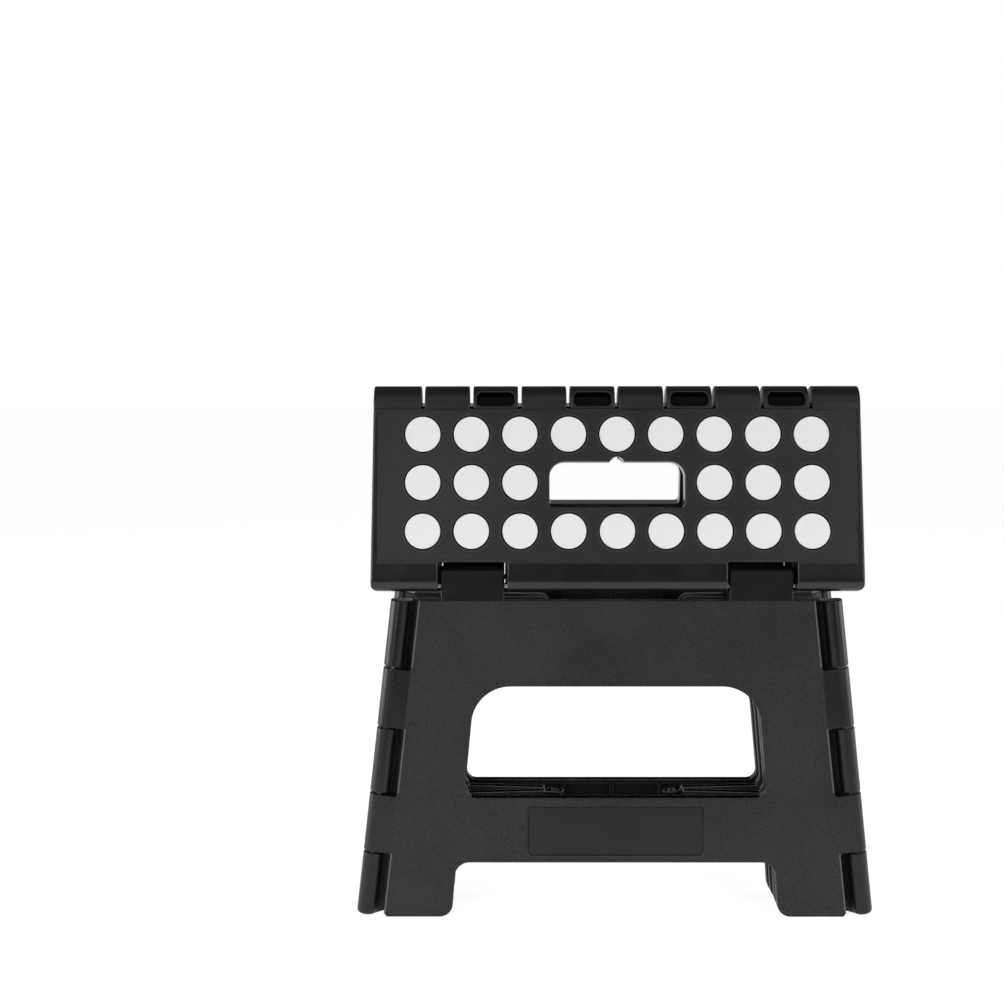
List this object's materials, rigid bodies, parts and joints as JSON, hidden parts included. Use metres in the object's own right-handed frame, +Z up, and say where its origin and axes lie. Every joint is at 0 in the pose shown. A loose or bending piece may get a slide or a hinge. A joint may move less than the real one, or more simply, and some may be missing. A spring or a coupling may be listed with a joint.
{
  "type": "folding step stool",
  "caption": "Low folding step stool in black plastic with white round grip studs, folded flat and standing on its feet; the hinged tread and sides open it.",
  "frame": {"origin": "on the floor, at the centre of the folded stool", "axes": "+Z up, +X to the right across the tread, +Y from the front leg panel to the rear one"},
  "size_m": [0.3204, 0.0602, 0.3269],
  "materials": {
    "leg_plastic": "fine sand texture",
    "deck_plastic": "fine moulded grain",
    "pad_rubber": "smooth matte",
    "steel": "drawn rod"
  },
  "bodies": {
    "front_leg": {"front_leg_panel": "leg_plastic", "leg_hinge_pin_front_left": "steel", "leg_hinge_pin_front_right": "steel", "side_rod_front_left": "steel", "side_rod_front_right": "steel"},
    "deck_front": {"deck_front_half": "deck_plastic", "grip_pad_front": "pad_rubber", "centre_hinge_rod": "steel"},
    "deck_rear": {"deck_rear_half": "deck_plastic", "grip_pad_rear": "pad_rubber"},
    "rear_leg": {"rear_leg_panel": "leg_plastic", "leg_hinge_pin_rear_left": "steel", "leg_hinge_pin_rear_right": "steel", "side_rod_rear_left": "steel", "side_rod_rear_right": "steel"},
    "side_left_front": {"side_left_front": "leg_plastic", "side_pin_left_upper": "steel", "side_pin_left_lower": "steel"},
    "side_left_rear": {"side_left_rear": "leg_plastic"},
    "side_right_front": {"side_right_front": "leg_plastic", "side_pin_right_upper": "steel", "side_pin_right_lower": "steel"},
    "side_right_rear": {"side_right_rear": "leg_plastic"}
  },
  "joints": [
    {"name": "deck_front_hinge", "type": "hinge", "parent": "front_leg", "child": "deck_front", "pos_m": [0, -0.0186, 0.2062], "axis": [-1, 0, 0], "range_deg": [0, 80.25]},
    {"name": "deck_centre_hinge", "type": "hinge", "parent": "deck_front", "child": "deck_rear", "pos_m": [0, 0, 0.31462], "axis": [1, 0, 0], "range_deg": [0, 160.5]},
    {"name": "deck_rear_hinge", "type": "hinge", "parent": "deck_rear", "child": "rear_leg", "pos_m": [0, 0.0186, 0.2062], "axis": [-1, 0, 0], "range_deg": [0, 80.25]},
    {"name": "side_left_front_hinge", "type": "hinge", "parent": "front_leg", "child": "side_left_front", "pos_m": [-0.14268, -0.0186, 0.1], "axis": [0.115, 0, 0.9934], "range_deg": [0, 80.25]},
    {"name": "side_right_front_hinge", "type": "hinge", "parent": "front_leg", "child": "side_right_front", "pos_m": [0.14268, -0.0186, 0.1], "axis": [0.115, 0, -0.9934], "range_deg": [0, 80.25]},
    {"name": "side_left_rear_hinge", "type": "hinge", "parent": "rear_leg", "child": "side_left_rear", "pos_m": [-0.14268, 0.0186, 0.1], "axis": [-0.115, 0, -0.9934], "range_deg": [0, 80.25]},
    {"name": "side_right_rear_hinge", "type": "hinge", "parent": "rear_leg", "child": "side_right_rear", "pos_m": [0.14268, 0.0186, 0.1], "axis": [-0.115, 0, 0.9934], "range_deg": [0, 80.25]}
  ],
  "couplings": [
    {"joint": "deck_centre_hinge", "follows": "deck_front_hinge", "ratio": 2},
    {"joint": "deck_rear_hinge", "follows": "deck_front_hinge", "ratio": 1},
    {"joint": "side_left_front_hinge", "follows": "deck_front_hinge", "ratio": 1},
    {"joint": "side_right_front_hinge", "follows": "deck_front_hinge", "ratio": 1},
    {"joint": "side_left_rear_hinge", "follows": "deck_front_hinge", "ratio": 1},
    {"joint": "side_right_rear_hinge", "follows": "deck_front_hinge", "ratio": 1}
  ]
}
